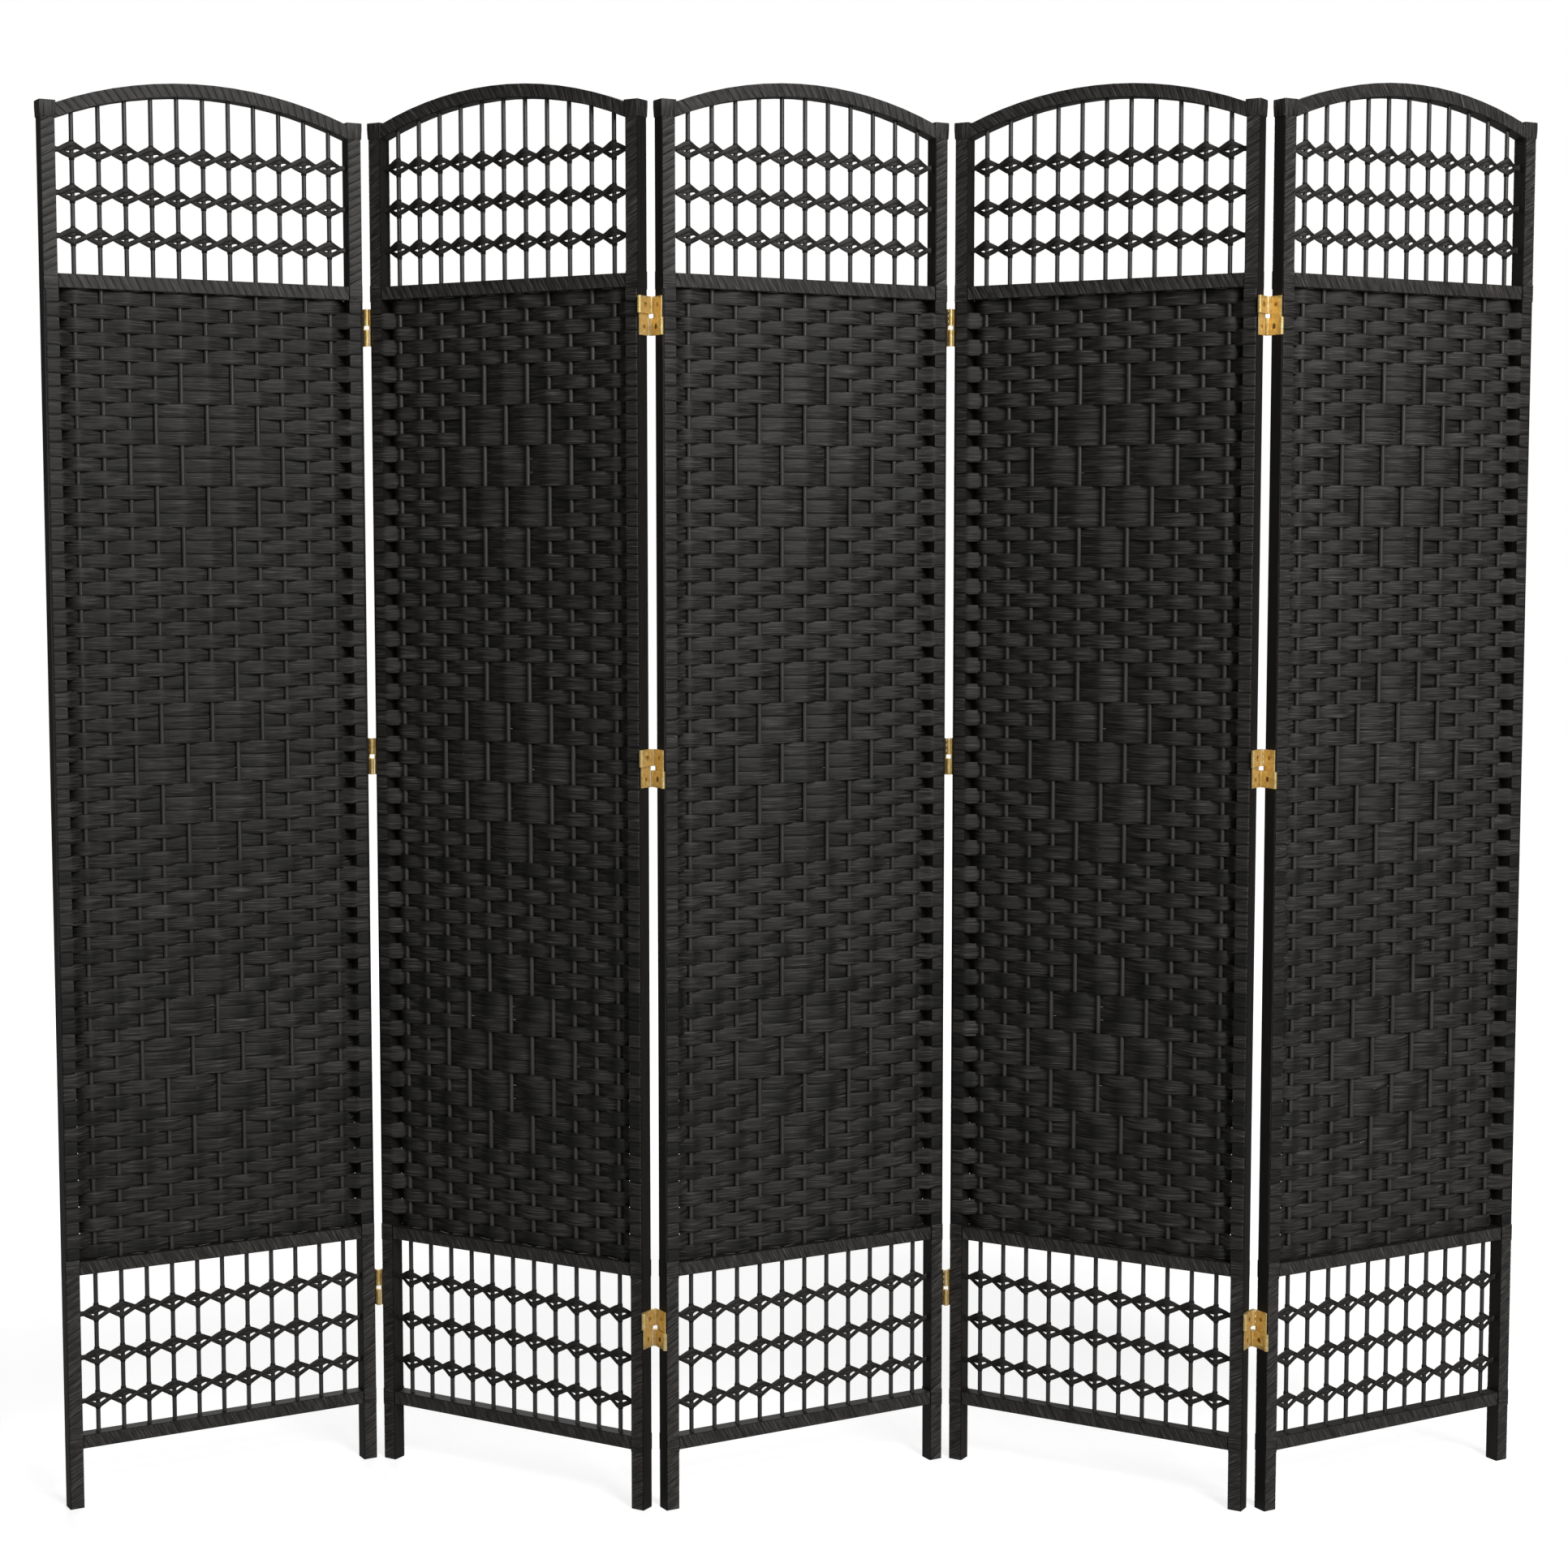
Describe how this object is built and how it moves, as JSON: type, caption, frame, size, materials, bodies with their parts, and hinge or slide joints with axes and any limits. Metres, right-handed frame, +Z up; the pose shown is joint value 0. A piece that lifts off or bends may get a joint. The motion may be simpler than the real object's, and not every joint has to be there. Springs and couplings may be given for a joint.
{
  "type": "folding screen",
  "caption": "Zigzag folding screen of woven fiber panels in wrapped frames with bowed tops and open lattice bands, joined by two-way hinges.",
  "frame": {"origin": "on the floor under the middle of the middle panel", "axes": "+X along the standing screen, +Y towards its back, +Z up"},
  "size_m": [1.7824, 0.2276, 1.6969],
  "materials": {
    "timber": "dark stained softwood",
    "rod": "dyed, satin",
    "woven_strip": "dyed flat plant fiber, semi-matte",
    "cord": "dyed twisted plant fiber, semi-matte",
    "fiber_wrap": "dyed plant fiber wound in a spiral, semi-matte",
    "brass": "stamped and rolled sheet, bright",
    "brass_pin": "drawn wire, bright",
    "screw": "plated countersunk wood screw"
  },
  "bodies": {
    "panel_1": {"panel_1_stiles": "timber", "panel_1_rails": "timber", "panel_1_dowels": "timber", "panel_1_rods": "rod", "panel_1_weave": "woven_strip", "panel_1_lattice_cords": "cord", "panel_1_wraps": "fiber_wrap", "panel_1_hinge_leaves": "brass", "panel_1_hinge_screws": "screw", "panel_1_lower_links": "brass", "panel_1_lower_pins": "brass_pin"},
    "panel_2": {"panel_2_stiles": "timber", "panel_2_rails": "timber", "panel_2_dowels": "timber", "panel_2_rods": "rod", "panel_2_weave": "woven_strip", "panel_2_lattice_cords": "cord", "panel_2_wraps": "fiber_wrap", "panel_2_hinge_leaves": "brass", "panel_2_hinge_screws": "screw"},
    "panel_3": {"panel_3_stiles": "timber", "panel_3_rails": "timber", "panel_3_dowels": "timber", "panel_3_rods": "rod", "panel_3_weave": "woven_strip", "panel_3_lattice_cords": "cord", "panel_3_wraps": "fiber_wrap", "panel_3_hinge_leaves": "brass", "panel_3_hinge_screws": "screw", "panel_3_lower_links": "brass", "panel_3_lower_pins": "brass_pin"},
    "panel_4": {"panel_4_stiles": "timber", "panel_4_rails": "timber", "panel_4_dowels": "timber", "panel_4_rods": "rod", "panel_4_weave": "woven_strip", "panel_4_lattice_cords": "cord", "panel_4_wraps": "fiber_wrap", "panel_4_hinge_leaves": "brass", "panel_4_hinge_screws": "screw"},
    "panel_5": {"panel_5_stiles": "timber", "panel_5_rails": "timber", "panel_5_dowels": "timber", "panel_5_rods": "rod", "panel_5_weave": "woven_strip", "panel_5_lattice_cords": "cord", "panel_5_wraps": "fiber_wrap", "panel_5_hinge_leaves": "brass", "panel_5_hinge_screws": "screw", "panel_5_lower_links": "brass", "panel_5_lower_pins": "brass_pin"},
    "link_1_2": {"upper_links_1_2": "brass", "upper_pins_1_2": "brass_pin"},
    "link_2_3": {"upper_links_2_3": "brass", "upper_pins_2_3": "brass_pin"},
    "link_3_4": {"upper_links_3_4": "brass", "upper_pins_3_4": "brass_pin"},
    "link_4_5": {"upper_links_4_5": "brass", "upper_pins_4_5": "brass_pin"}
  },
  "joints": [
    {"name": "fold_3_4", "type": "hinge", "parent": "panel_3", "child": "link_3_4", "pos_m": [0.17885, 0.08951, 0], "axis": [0, 0, -1], "range_deg": [-60.4, 119.6]},
    {"name": "back_fold_3_4", "type": "hinge", "parent": "link_3_4", "child": "panel_4", "pos_m": [0.19152, 0.11129, 0], "axis": [0, 0, -1], "range_deg": [-175, 0]},
    {"name": "back_fold_4_5", "type": "hinge", "parent": "panel_4", "child": "link_4_5", "pos_m": [0.52387, -0.11129, 0], "axis": [0, 0, 1], "range_deg": [-175, 0]},
    {"name": "fold_4_5", "type": "hinge", "parent": "link_4_5", "child": "panel_5", "pos_m": [0.53654, -0.08951, 0], "axis": [0, 0, 1], "range_deg": [-60.4, 119.6]},
    {"name": "fold_2_3", "type": "hinge", "parent": "panel_3", "child": "link_2_3", "pos_m": [-0.17885, -0.08951, 0], "axis": [0, 0, -1], "range_deg": [-60.4, 119.6]},
    {"name": "back_fold_2_3", "type": "hinge", "parent": "link_2_3", "child": "panel_2", "pos_m": [-0.19152, -0.11129, 0], "axis": [0, 0, -1], "range_deg": [-175, 0]},
    {"name": "back_fold_1_2", "type": "hinge", "parent": "panel_2", "child": "link_1_2", "pos_m": [-0.52387, 0.11129, 0], "axis": [0, 0, 1], "range_deg": [-175, 0]},
    {"name": "fold_1_2", "type": "hinge", "parent": "link_1_2", "child": "panel_1", "pos_m": [-0.53654, 0.08951, 0], "axis": [0, 0, 1], "range_deg": [-60.4, 119.6]}
  ]
}
